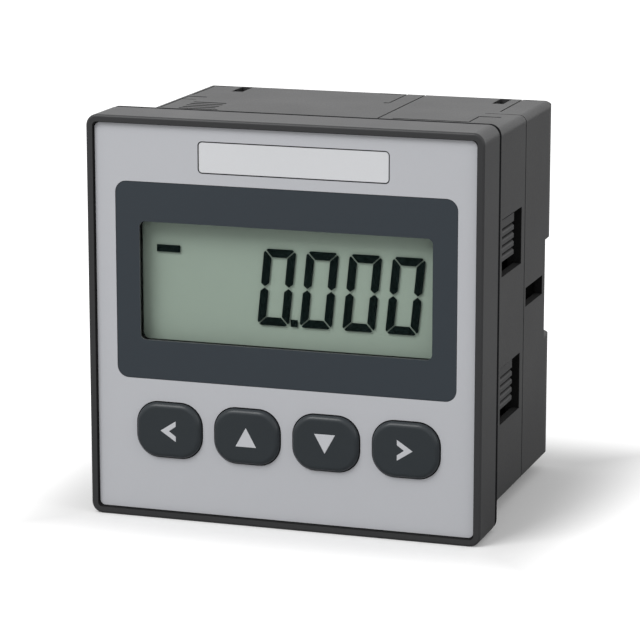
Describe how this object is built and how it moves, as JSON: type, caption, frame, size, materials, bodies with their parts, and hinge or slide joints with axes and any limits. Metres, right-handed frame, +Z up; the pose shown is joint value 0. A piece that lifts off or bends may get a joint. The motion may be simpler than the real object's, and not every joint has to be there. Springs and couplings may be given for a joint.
{
  "type": "digital panel meter",
  "caption": "Square panel meter with a liquid crystal display, a row of soft-cornered keys, snap latches in its housing and screw terminals in its rear cover.",
  "frame": {"origin": "centre of the rear face of the panel seal, which meets the front of the panel", "axes": "+X to the right as the display is read, +Y into the panel, +Z up"},
  "size_m": [0.096, 0.0753, 0.096],
  "materials": {
    "bezel": "fine satin grain",
    "plate": "smooth matt",
    "mask": "smooth matt",
    "label": "smooth matt",
    "window": "clear",
    "key": "satin",
    "plunger": "smooth",
    "switch": "smooth",
    "front_glass": "clear",
    "digits": "flat",
    "reflector": "grey-green reflector",
    "holder": "moulded",
    "pins": "tinned",
    "board": "lacquered",
    "screws": "zinc plated",
    "chips": "moulded",
    "metal_can": "tinned",
    "seal": "dull",
    "housing": "fine grain",
    "sockets": "moulded",
    "core": "stacked sheets",
    "coil": "wound copper wire",
    "capacitors": "printed sleeve",
    "relays": "moulded",
    "fuse_glass": "clear",
    "terminals": "moulded",
    "clamps": "plated"
  },
  "bodies": {
    "meter": {"bezel": "bezel", "front_plate": "plate", "display_mask": "mask", "label_strip": "label", "display_window": "window", "switch_bodies": "switch", "lcd_front_glass": "front_glass", "lcd_digits": "digits", "lcd_back_panel": "reflector", "lcd_holder": "holder", "lcd_pins": "pins", "display_board": "board", "board_screws": "screws", "controller_chip": "chips", "crystal_can": "metal_can", "chip_resistors": "chips", "panel_seal": "seal", "front_housing": "housing", "rear_cover": "housing", "cover_screws": "screws", "power_board": "board", "main_board": "board", "link_sockets": "sockets", "transformer_core": "core", "transformer_coil": "coil", "capacitors": "capacitors", "relays": "relays", "fuse_tube": "fuse_glass", "fuse_clips": "metal_can", "converter_chip": "chips", "terminal_upper": "terminals", "terminal_lower": "terminals", "terminal_screws": "screws", "terminal_clamps": "clamps"},
    "left_button": {"key_left": "key", "plunger_left": "plunger"},
    "up_button": {"key_up": "key", "plunger_up": "plunger"},
    "down_button": {"key_down": "key", "plunger_down": "plunger"},
    "right_button": {"key_right": "key", "plunger_right": "plunger"}
  },
  "joints": [
    {"name": "left_press", "type": "slide", "parent": "meter", "child": "left_button", "axis": [0, 1, 0], "range_m": [0, 0.0007], "stiffness_N_per_m": 1500, "springref_m": -0.0006},
    {"name": "up_press", "type": "slide", "parent": "meter", "child": "up_button", "axis": [0, 1, 0], "range_m": [0, 0.0007], "stiffness_N_per_m": 1500, "springref_m": -0.0006},
    {"name": "down_press", "type": "slide", "parent": "meter", "child": "down_button", "axis": [0, 1, 0], "range_m": [0, 0.0007], "stiffness_N_per_m": 1500, "springref_m": -0.0006},
    {"name": "right_press", "type": "slide", "parent": "meter", "child": "right_button", "axis": [0, 1, 0], "range_m": [0, 0.0007], "stiffness_N_per_m": 1500, "springref_m": -0.0006}
  ]
}
